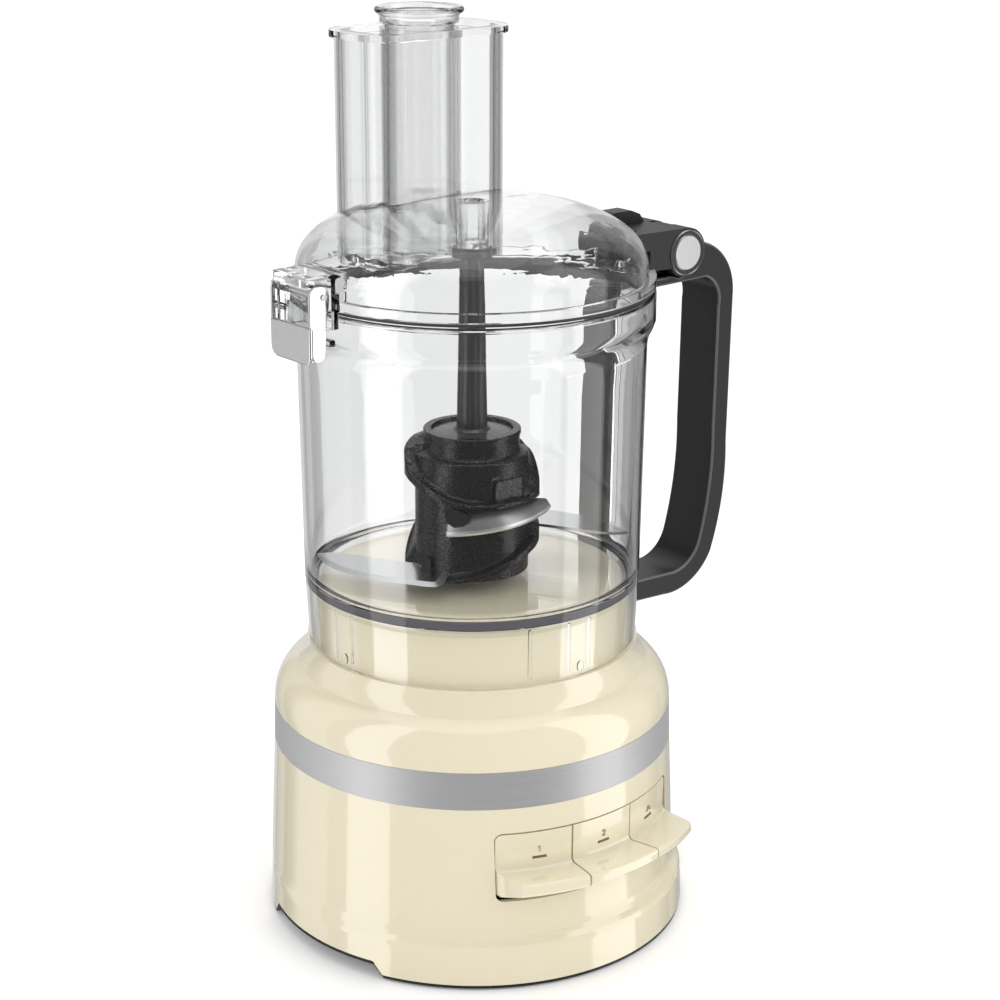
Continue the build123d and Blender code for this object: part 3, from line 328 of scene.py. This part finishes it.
tube += [(TUBE_OUT, TUBE_TOP), (14.1, 229.4), (12.4, 229.4), (TUBE_IN, TUBE_TOP)]
tube += [(TUBE_IN, TUBE_TOP - 60 * i / 8) for i in range(1, 8)] + [(TUBE_IN, FLOOR_UNDER)]
under = [(TUBE_IN + 65.5 * i / 10, FLOOR_UNDER) for i in range(1, 11)]
skirt = [(77.4, 164), (77.1, 154), (76.8, 141), (77.2, 140.4), (79.1, 140.4), (79.5, 141)]
skirt += [(79.5 + 1.5 * i / 4, 141 + 31 * i / 4) for i in range(1, 5)]
wall_out = [(81.0 + 1.5 * i / 12, 172 + 114 * i / 12) for i in range(1, 12)]
section = rim + wall_in + foot + floor_in + tube + under + skirt + wall_out
bowl = lathe("clear_bowl", section, CLEAR, "bowl", 240)
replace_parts(bowl, "bowl")
catch = slab("bowl_catch", [(-88.2, 297.2), (-84.9, 297.2), (-84.9, 300.2), (-88.2, 300.2)], -9, 9, CLEAR,
             "bowl")
bevel(catch, 0.5)
see_through(bowl)
see_through(catch)


def corner(angle):
    """Outline of the dark corner band at an angle, a little lower at the back; its grey is painted dark
    refraction.
    """
    near = cos(angle - radians(FRONT))
    top, inner = 172.2 + 1.7 * near, 78.9 - 0.7 * near
    return [(inner, 170.1), (inner + 0.4, 169.7), (80.75, 169.7), (80.85, 170.1), (80.9, top - 0.4),
            (80.5, top),
            (inner + 0.8, top - 0.3), (inner, top - 0.9)]


# the corner between floor and wall as a dark grey band of painted dark refraction, and a clear rib beside
# the handle's spine
lathe("corner_painted_refraction", corner, CORNER_PAINTED_REFRACTION, "bowl", 240)
see_through(bevel(slab("spine_rib", [(79.9, 178), (82.6, 178), (84.0, 184), (85.2, 290), (80.4, 290)],
                       -16.7, -14.5, CLEAR, "bowl"), 0.5))

# ribs inside the bowl's skirt and pips outside it, at degrees about Z
for number, (turned, wide) in enumerate(((177.5, 0.7), (-174.5, 0.7), (-109, 1.5), (-94, 0.7), (-85, 0.7))):
    rib = patch(f"skirt_rib_{number + 1}", round_box(turned - wide / 2, turned + wide / 2, 143.0, 167.5,
                                                     wide / 2),
                76.5, 77.7, CLEAR, "bowl")
    see_through(rib)
for number, turned in enumerate((-177, -90)):
    pip = patch(f"skirt_pip_{number + 1}", round_box(turned - 1.4, turned + 1.4, 142.6, 147.9, 1.39), 79.2,
                80.3, CLEAR,
                "bowl")
    see_through(pip)

# fill line printed on the wall: two strokes with an upright tick each
for number, (a0, a1, z0, z1) in enumerate(((-99, -93, 285.9, 286.3), (-78, -68, 285.9, 286.3),
                                          (-93.3, -92.9, 284.6, 287.6), (-78.1, -77.7, 284.6, 287.6))):
    steps = max(1, round((a1 - a0) / 1.5))
    along = [a0 + (a1 - a0) * k / steps for k in range(steps + 1)]
    patch(f"fill_mark_{number + 1}", [(a, z0) for a in along] + [(a, z1) for a in reversed(along)], 82.42,
          82.6, WHITE,
          "bowl")

# handle: rounded grip with its middle knuckle on the hinge's axis
GRIP_HALF, KNUCKLE_HALF, KNUCKLE_R = 13.7, 5.6, 12
HINGE_X, HINGE_Z = 122, 314
inner = [(87, 146.4)] + arc((120, 145.4), (134.4, 149.2), (141.6, 160.5), 20)
inner += arc((141.6, 160.5), (146.9, 185), (148.6, 217.5), 20)[1:] + [(149.0, 240), (149.6, 282)]
inner += arc((149.6, 282), (147.6, 293), (140.4, 298.4), 8)[1:] + [(120, 298.0), (87, 297.5)]
outer = [(87, 302.1), (112.5, 302.1), (115.4, 302.4), (122, 300.7), (128.6, 302.5), (133.5, 307.3),
         (135.3, 314.6), (136, 317)]
outer += arc((136, 317), (154.6, 305.6), (160.1, 286), 20)[1:] + [(159.5, 250), (158.8, 210)]
outer += arc((158.8, 210), (156.8, 176), (150, 151), 20)[1:] + arc((150, 151), (138, 138.4), (117, 133.9),
                                                                   20)[1:]
outer += [(87, 135.2)]
grip = slab("grip", inner + outer, -GRIP_HALF, GRIP_HALF, [GRIP, GRIP_DARK, GRIP_EDGE_HIGHLIGHT], "bowl", 50)
# the side that faces the bowl is smoother and darker
for f in grip.data.polygons:
    c = f.center / MM
    if abs(c.y) < 1 and 134 < c.x < 151 and 150 < c.z < 296 and f.normal.x < 0:
        f.material_index = 1
# the rounded edges take the lighter grey, a painted highlight
bevel(grip, 1.0, 3, 35).modifiers["edges"].material = 2
round_top = [(HINGE_X + KNUCKLE_R * cos(radians(a)), HINGE_Z + KNUCKLE_R * sin(radians(a)))
             for a in range(-80, 200, 10)]
knuckle = slab("knuckle", round_top + [(113, 301)], -KNUCKLE_HALF, KNUCKLE_HALF, GRIP, "bowl", 50)
bevel(knuckle, 0.6, 2, 50)
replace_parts(grip, "handle", "handle_cover")

# black and bright rings round the chromed caps of the hinge pin
for side, y in (("front", -18.2), ("back", 18.2)):
    out = math.copysign(1.0, y)
    hoop(f"cap_ring_{side}", [(9.0, y - out), (9.0, y + 0.1 * out), (10.7, y + 0.1 * out), (10.7, y - out)],
         (HINGE_X, HINGE_Z),
         BLACK, "lid")
    hoop(f"cap_bead_{side}", [(10.7, y - out), (10.7, y + 0.3 * out), (11.0, y + 0.6 * out),
                              (11.4, y + 0.3 * out),
                              (11.5, y - out)], (HINGE_X, HINGE_Z), CAP, "lid")

# seal: a dark lip between flange and rim, partly the real seal and partly painted shadow in the gap between
# lid and bowl, and a lower one inside the rim
seal = lathe("seal_lip_painted_gap_shadow", [(83.1, 311.9), (85.5, 311.9), (85.9, 312.2), (85.9, 313.0), (85.5, 313.3),
                          (83.1, 313.3)],
             SEAL, "lid", 192, 40)


def bead(angle):
    """Outline of the seal's lower lip; towards the side of the hinge its dark band reaches 4.8 mm lower."""
    turned = abs((math.degrees(angle) - FRONT + 180) % 360 - 180)
    s = min(max((turned - 84) / 24, 0), 1)
    low = 309.2 - 4.8 * s * s * (3 - 2 * s)
    return [(81.9, low + 0.4), (82.1, low), (82.9, low), (83.15, low + 0.3), (83.15, 310.3), (82.8, 310.6),
            (82.1, 310.6),
            (81.9, 310.3)]


lathe("seal_bead", bead, SEAL, "lid", 192, 40)
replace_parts(seal, "lid_seal")

# latch lever: front plate with round lower corners, two cheeks and a bottom
low_corner = [(10.2 + 5 * sin(radians(a)), 297 - 5 * cos(radians(a))) for a in range(0, 91, 15)]
lever = plate("lever_plate", [(-y, z) for y, z in reversed(low_corner)] + low_corner + [(15.2, 309),
                                                                                        (-15.2, 309)],
              -103.4, -101.7, CHROME, "latch", 40)
bevel(lever, 0.6)
for side, y in (("front", -15.1), ("back", 15.1)):
    inside = y - math.copysign(1.3, y)
    cheek = [(-102.0, 296), (-101.0, 294), (-99.5, 293), (-97.2, 293), (-95.6, 294.2), (-94.8, 297),
             (-94.2, 310),
             (-92.8, 317), (-92.3, 322), (-93.2, 325.6), (-95.6, 327), (-100.6, 327), (-102.6, 325.6),
             (-103.2, 322.6),
             (-103.2, 309.5), (-102.0, 308)]
    bevel(slab(f"lever_cheek_{side}", cheek, min(y, inside), max(y, inside), CHROME, "latch", 40), 0.35, 2)
bevel(plate("lever_bottom", [(-13.9, 293.2), (13.9, 293.2), (13.9, 295), (-13.9, 295)], -102.0, -95.4,
            CHROME, "latch"), 0.4)
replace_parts(lever, "latch_lever")

# hub: turned body with two lifting flanges that climb round it and flow into the body
# stations: degrees from the front, then three heights of the flange:
# its top at the body, its top edge and its lower edge
HUB_R, FLANGE_R = 27.4, 32.5
UPPER = [(-180, 236, 235.5, 226), (-120, 236, 235, 223), (-90, 233.5, 232.5, 221), (-75, 228, 227, 220.6),
         (-64, 224.4, 223.6, 219.6), (-46, 222, 221, 217), (-33, 219.4, 218.4, 214.6), (-19, 216.8, 215.5,
                                                                                        211.8),
         (-2, 215.2, 213.8, 211.6), (20, 214.2, 213.6, 212), (45, 212.8, 213.5, 211.8), (60, 212.8, 213.2,
                                                                                         211.4),
         (75, 217, 213.6, 210.4), (90, 225.5, 216.5, 209.2), (120, 232, 228, 214), (150, 235, 234, 222)]
LOWER = [(-180, 203, 201, 195), (-130, 198, 194, 185), (-90, 187, 178.5, 173.7), (-65, 180.5, 176.4, 173.7),
         (-43, 177.3, 176, 173.9), (-20, 178, 176, 174.1), (0, 180.2, 178, 175.6), (20, 183.6, 181.6,
                                                                                    178.4),
         (35, 186.4, 184.4, 181), (48, 188, 187, 183.6), (62, 190, 189.6, 185.6), (75, 192.5, 192, 186.6),
         (90, 196.5, 194.9, 188), (125, 201, 199, 193)]


def between(stations, turned):
    """Heights at an angle, eased between the stations on its two sides."""
    turned = (turned + 180) % 360 - 180
    ring = stations + [(180, *stations[0][1:])]
    for (a, *low), (b, *high) in zip(ring, ring[1:]):
        if a <= turned <= b:
            s = (turned - a) / (b - a)
            s = 0.5 * s + 0.5 * s * s * (3 - 2 * s)
            return [u + (v - u) * s for u, v in zip(low, high)]


def hub_outline(angle):
    """Outline of the hub at an angle about its axis."""
    def flange(top_in, top, low):
        return [(HUB_R, max(low - 0.9, 174.02)), (HUB_R + 1.2, max(low, 174.1)), (FLANGE_R - 0.7, low),
                (FLANGE_R, low + 0.5), (FLANGE_R, top - 0.6), (FLANGE_R - 0.3, top - 0.2), (FLANGE_R - 0.9,
                                                                                            top),
                (HUB_R + 2.6, 0.6 * top + 0.4 * top_in - 0.35), (HUB_R + 1.0,
                                                                 0.25 * top + 0.75 * top_in - 0.3),
                (HUB_R + 0.2, top_in), (HUB_R, top_in + 0.9)]
    turned = math.degrees(angle) - FRONT
    upper = between(UPPER, turned)
    crown = [(27.2, 230.6), (26.9, 231.4), (26.2, 231.9), (25.0, 232.2), (23.6, 232.9), (23.0, 233.8),
             (22.8, 235),
             (22.8, 238.5), (23.0, 240), (23.4, 240.9)]
    crown = [(r, max(z, upper[0] + 0.95 + 0.02 * k)) for k, (r, z) in enumerate(crown)]
    return ([(15.2, 174), (HUB_R - 0.2, 174)] + flange(*between(LOWER, turned)) + flange(*upper) + crown
            + [(23.4, 242.6), (23.0, 243), (19.7, 243), (19.35, 242.6), (19.35, 240.2), (15.2, 240.2)])


hub = lathe("hub_body", hub_outline, HUB, "blade", 300, 42)
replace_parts(hub, "blade_hub")
bevel(patch("hub_frame", round_box(FRONT + 18, FRONT + 50, 210.0, 225.8, 3.2), 26.4, 27.9, HUB, "blade"),
      0.3)
bevel(patch("hub_boss", round_box(FRONT + 22, FRONT + 54, 210.0, 223.6, 2.6), 26.4, 29.3, HUB, "blade"),
      0.5)
bevel(patch("hub_pad", round_box(FRONT - 54, FRONT - 42, 176.0, 184.0, 1.2), 26.6, 29.4, HUB, "blade"), 0.5)
bevel(patch("hub_tongue", [(FRONT + a, z) for a, z in ((-26, 212), (-14, 211), (-6, 209.6), (-0.5, 207),
                                                       (-3, 205),
                                                      (-8, 203), (-16, 201.8), (-24, 204))], 26.6, 30.6,
            BLACK, "blade"), 0.5)


def ground_blade(name, cutting, back, low, turned):
    """Flat steel whose cutting edge is ground from the top; both edges run to the tip."""
    thick, grind = 1.4, 3.2
    cut, rear = smooth_path(cutting), smooth_path(back)[1:]
    inset = []
    for i, (x, y) in enumerate(cut):
        ax, ay = cut[max(i - 1, 0)]
        bx, by = cut[min(i + 1, len(cut) - 1)]
        run = math.hypot(bx - ax, by - ay)
        width = grind * min(1, 0.15 * (len(cut) - 1 - i))
        inset.append((x + width * (by - ay) / run, y - width * (bx - ax) / run))
    c, s = cos(radians(turned)), sin(radians(turned))
    ring = [(x * c - y * s, x * s + y * c, low) for x, y in cut + rear]
    top = [(x * c - y * s, x * s + y * c, low + thick) for x, y in inset + rear]
    steel = make(name, ring + top, prism_faces(len(ring)), [STEEL, EDGE], "blade", 20)
    for f in steel.data.polygons:
        if 0.15 < f.normal.z < 0.95:
            f.material_index = 1
    return steel


CONVEX = [(-24, -12), (-38, -22), (-47.4, -10.5), (-55, 3), (-60.2, 17.5), (-61.6, 32.6), (-57.6, 49.2)]
CONCAVE = [(-57.6, 49.2), (-50.6, 45), (-43.4, 34.6), (-37.2, 22.5), (-29, 9), (-19, 2)]
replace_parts(ground_blade("lower_steel", CONVEX, CONCAVE, 177.0, 0), "lower_blade")
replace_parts(ground_blade("upper_steel", CONVEX, CONCAVE, 189.6, 180), "upper_blade")

# root of the upper blade: a steep leaf round the front of the hub, with its ground edge below
# stations of degrees, then radius and height of the ground edge, then radius and height of the upper edge
LEAF = [(FRONT - 24, 29.8, 196.8, 27.2, 208.5), (FRONT, 30.4, 198.5, 27.2, 210), (FRONT + 25, 30.8, 199.8,
                                                                                  27.2, 210.5),
        (FRONT + 50, 31.2, 200.4, 27.2, 210), (FRONT + 70, 33.0, 200.9, 28.0, 209.3), (FRONT + 82, 35.6,
                                                                                       201.6, 31.0, 208.6),
        (FRONT + 90, 37.8, 203.0, 35.2, 207.0)]
verts, faces = [], []
rows = smooth_path(LEAF, 8)
for a, r0, z0, r1, z1 in rows:
    for share in (0.0, 0.19, 0.21, 1.0):
        r, z = r0 + (r1 - r0) * share, z0 + (z1 - z0) * share
        verts.append((r * cos(radians(a)), r * sin(radians(a)), z))
for i in range(len(rows) - 1):
    faces += [(4 * i + k, 4 * i + 4 + k, 4 * i + 5 + k, 4 * i + 1 + k) for k in range(3)]
leaf = make("root_leaf", verts, faces, [CASTING, EDGE], "blade", 60)
for f in leaf.data.polygons:
    f.material_index = 1 if f.index % 3 == 0 else 0
thickness = leaf.modifiers.new("thickness", "SOLIDIFY")
thickness.thickness = 1.2 * MM
thickness.offset = 0

# numerals 1 and 2 and a pulse sign on the paddles
PLATE_R, PRINT_Z, PADDLE_TURN, LINE = 98.4, 67.0, 20.4, 0.36


def mark(name, turned, outline, body):
    """Thin printed line along (across, up) points in millimetres, on the upright front of a paddle."""
    d = bpy.data.curves.new(name, "CURVE")
    d.dimensions = "3D"
    d.bevel_depth = LINE * MM / 2
    spline = d.splines.new("POLY")
    spline.points.add(len(outline) - 1)
    for p, (u, v) in zip(spline.points, outline):
        a = radians(turned - 90) + u / PLATE_R
        p.co = (PLATE_R * cos(a) * MM, PLATE_R * sin(a) * MM, (PRINT_Z + v) * MM, 1)
    obj = bpy.data.objects.new(name, d)
    SCENE.collection.objects.link(obj)
    d.materials.append(PRINT)
    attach(obj, body)


mark("numeral_1", -PADDLE_TURN, [(-0.7, 0.7), (0, 1.4), (0, -1.4)], "paddle_1")
mark("numeral_2", 0, arc((-0.9, 0.6), (0, 1.4), (0.9, 0.6)) + [(0.4, -0.2), (-0.9, -1.4), (1.0, -1.4)],
     "paddle_2")
mark("pulse_sign", PADDLE_TURN, [(-2.2, -0.9), (-1.0, -0.9), (-1.0, 0.9), (0.6, 0.9), (0.6, -0.9),
                                 (2.2, -0.9)],
     "paddle_pulse")

# small pusher: thin cup with a rolled rim
CHUTE_Y = 39.0
cup = [(0, 323), (15.0, 323), (15.7, 323.3), (16, 324), (16, 427.5), (16.2, 428.4), (18.2, 429.4),
       (18.7, 430.4),
       (18.8, 432.6)] + arc((19.2, 433.8), (21.0, 435.2), (19.6, 437), 8) + arc((19.0, 437.0),
                                                                                (17.7, 436.2),
                                                                                (17.3, 434.0), 6)
cup += [(17.2, 431), (16.6, 430), (14.9, 428.8), (14.5, 427.5), (14.4, 326), (13.8, 325.1), (0, 325)]
pusher = lathe("cup_pusher", cup, THICK, "small_pusher", 128)
pusher.data.transform(Matrix.Translation((0, CHUTE_Y * MM, 0)))
see_through(pusher)
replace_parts(pusher, "small_pusher")

# dark edge of the base plate, which follows the lower edge of the plinth over its two finger recesses; it
# reaches out to the plinth's edge, partly the real plate and partly painted shadow under the plinth
PLINTH_Y, PLINTH_LOW = -3.3, 2.6


def plate_edge(angle):
    """Outline of the base plate's edge at an angle about the plinth's centre; its outer part is painted
    shadow under the plinth.
    """
    y = PLINTH_Y + 102 * sin(angle)
    lift = max(0, min(6.0, (y + 51) * 1.2 - 3.6, (40 - y) * 1.2 - 3.6))
    return [(100.6, PLINTH_LOW - 1.6 + lift), (102.9, PLINTH_LOW - 1.6 + lift),
            (103.0, PLINTH_LOW - 0.1 + lift),
            (100.6, PLINTH_LOW + 0.3 + lift)]


edge = lathe("base_plate_edge_painted_shadow", plate_edge, RUBBER, "base", 360)
edge.data.transform(Matrix.Translation((0, PLINTH_Y * MM, 0)))

# small rounds on moulded and pressed CAD pieces
for name, width in (("hinge_bracket", 1.2), ("handle_spine", 0.6)):
    bevel(NODES[name], width, 3, 40)
bevel(NODES["large_pusher"], 0.95, 3, 40).modifiers["edges"].use_clamp_overlap = False

# ---------------------------------------------------------------- light, floor and camera
world = bpy.data.worlds.new("studio")
SCENE.world = world
world.use_nodes = True
background = world.node_tree.nodes["Background"].inputs
background["Color"].default_value = (1, 1, 1, 1)
background["Strength"].default_value = 1.0
SCENE.cycles.max_bounces = 32
SCENE.cycles.transmission_bounces = 32
SCENE.cycles.glossy_bounces = 8


def wall(name, start, end, glow):
    """Upright stretch of the studio's round wall, in degrees about Z.

    Only clear and glossy surfaces see it.
    """
    radius, low, high, steps = 0.8, -1.0, 1.5, max(1, round((end - start) / 6))
    turns = [radians(start + (end - start) * k / steps) for k in range(steps + 1)]
    d = bpy.data.meshes.new(name)
    d.from_pydata([(radius * cos(a), radius * sin(a), z) for z in (low, high) for a in turns], [],
                  [(k, k + 1, steps + k + 2, steps + k + 1) for k in range(steps)])
    obj = bpy.data.objects.new(name, d)
    SCENE.collection.objects.link(obj)
    m, nt, p = new_material(name)
    p.inputs["Base Color"].default_value = (0, 0, 0, 1)
    p.inputs["Specular IOR Level"].default_value = 0.0
    p.inputs["Emission Color"].default_value = (1, 1, 1, 1)
    p.inputs["Emission Strength"].default_value = glow
    d.materials.append(m)
    obj.visible_camera = obj.visible_shadow = obj.visible_diffuse = False


# stretches of the wall: degrees from the viewer's direction, then brightness
WALLS = [(-150, -130, 0.4), (-130, -116, 0.08), (-116, -112, 0.3), (-112, -84, 0.6), (-84, -70, 0.22),
         (-70, -44, 1.8), (-44, 62, 0.15), (62, 92, 1.7), (92, 112, 0.18), (112, 116, 0.2),
         (116, 130, 0.08), (130, 150, 0.3), (150, 166, 0.42), (166, 171, 0.68), (171, 175, 0.92),
         (175, 180, 1.0), (180, 184, 0.93), (184, 188, 1.02), (188, 194, 0.9), (194, 210, 0.66)]
for number, (start, end, glow) in enumerate(WALLS):
    wall(f"wall_{number + 1}", FRONT + start, FRONT + end, glow)


def lamp(name, place, aim, width, height, power):
    """Soft box that looks at a point."""
    data = bpy.data.lights.new(name, "AREA")
    data.shape, data.size, data.size_y, data.energy = "RECTANGLE", width, height, power
    obj = bpy.data.objects.new(name, data)
    SCENE.collection.objects.link(obj)
    obj.location = place
    obj.rotation_euler = (Vector(aim) - Vector(place)).to_track_quat("-Z", "Y").to_euler()
    obj.visible_camera = obj.visible_glossy = False


lamp("front fill", (0.5, -1.6, 1.3), (0, 0, 0.2), 0.9, 0.6, 1.5)
lamp("right fill", (1.1, -1.1, 0.7), (0, 0, 0.1), 0.7, 0.9, 2.5)
lamp("top", (0.1, 0.1, 1.7), (0, 0, 0.2), 0.9, 0.9, 3)

mesh = bpy.data.meshes.new("floor")
FLOOR_HALF = 6  # metres
floor_corners = [(x * FLOOR_HALF, y * FLOOR_HALF, 0) for x, y in ((-1, -1), (1, -1), (1, 1), (-1, 1))]
mesh.from_pydata(floor_corners, [], [(0, 1, 2, 3)])
floor = bpy.data.objects.new("floor", mesh)
SCENE.collection.objects.link(floor)
FLOOR = surface("floor", (0.93, 0.93, 0.93), (0.95, 0.95, 0.95), 0.6, 30, 0.00001)
shine = FLOOR.node_tree.nodes["Principled BSDF"].inputs
shine["Emission Color"].default_value = (1, 1, 1, 1)
shine["Emission Strength"].default_value = 0.14
mesh.materials.append(FLOOR)
floor.visible_glossy = floor.visible_transmission = False

camera = bpy.data.objects.new("camera", bpy.data.cameras.new("camera"))
SCENE.collection.objects.link(camera)
SCENE.camera = camera
camera.data.sensor_width = 36
camera.data.lens = 82.1
camera.data.shift_x = 0.028
camera.location = (-0.6578, -0.8123, 0.5450)
LOOK_DOWN, LOOK_TURN = 17.97, -39  # degrees
camera.rotation_euler = (radians(90 - LOOK_DOWN), 0, radians(LOOK_TURN))
SCENE.view_settings.view_transform = "Standard"
